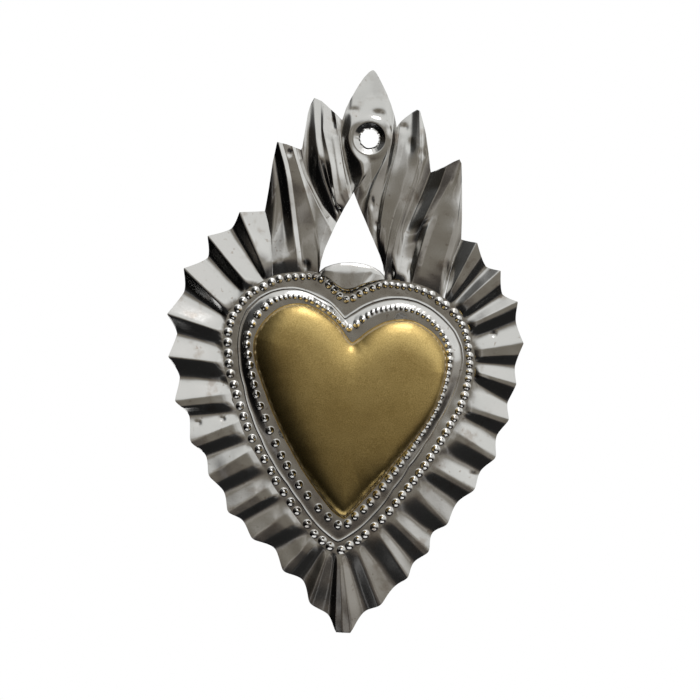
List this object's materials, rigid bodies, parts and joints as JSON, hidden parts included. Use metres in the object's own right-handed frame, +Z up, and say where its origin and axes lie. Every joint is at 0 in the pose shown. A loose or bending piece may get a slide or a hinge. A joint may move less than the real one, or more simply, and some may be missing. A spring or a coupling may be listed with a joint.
{
  "type": "tin heart ornament",
  "caption": "Hanging ornament pressed from thin tin: a brass heart on a beaded field, with a pleated border, a crown of flames, a small window and a punched hanging hole.",
  "frame": {"origin": "centre of the hanging hole's collar", "axes": "+Z up, from the heart's tip to the tallest flame; -Y the front, out of the wall; +X to the right seen from the front"},
  "size_m": [0.0799, 0.0093, 0.1263],
  "materials": {
    "tin": "bright tinplate, hammered and pleated",
    "brass": "satin",
    "solder": "dull grey tin-lead solder"
  },
  "bodies": {
    "root": {"tin_sheet": "tin", "brass_heart": "brass", "solder_tacks": "solder"}
  },
  "joints": []
}
